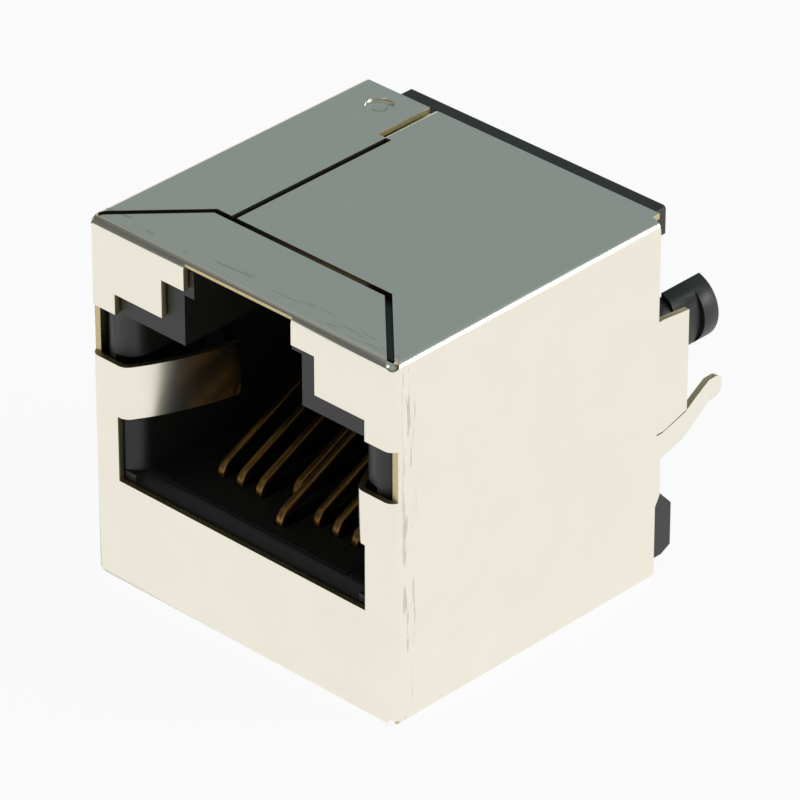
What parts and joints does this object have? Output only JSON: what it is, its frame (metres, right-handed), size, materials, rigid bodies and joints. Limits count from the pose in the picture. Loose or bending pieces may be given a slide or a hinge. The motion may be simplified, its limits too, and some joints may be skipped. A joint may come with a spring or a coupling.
{
  "type": "shielded modular jack",
  "caption": "Shielded top-entry modular board jack: stepped plug port with latch channel, ground fingers, spring contacts, board pegs and solder tails.",
  "frame": {"origin": "midway between the two board pegs, on the plane of the board", "axes": "+Y out of the jack into the board, along the pegs; +Z toward the latch side of the port; +X to the right seen from the port"},
  "size_m": [0.016, 0.0198, 0.016],
  "materials": {
    "shield_plating": "smooth bright nickel plating on thin sheet",
    "housing_plastic": "black moulded thermoplastic, semi-gloss",
    "carrier_plastic": "black moulded thermoplastic, dull",
    "contact_gold": "gold flash on drawn phosphor bronze wire"
  },
  "bodies": {
    "root": {"shield": "shield_plating", "housing": "housing_plastic", "contact_carrier": "carrier_plastic", "contact_1": "contact_gold", "contact_2": "contact_gold", "contact_3": "contact_gold", "contact_4": "contact_gold", "contact_5": "contact_gold", "contact_6": "contact_gold", "contact_7": "contact_gold", "contact_8": "contact_gold"}
  },
  "joints": []
}
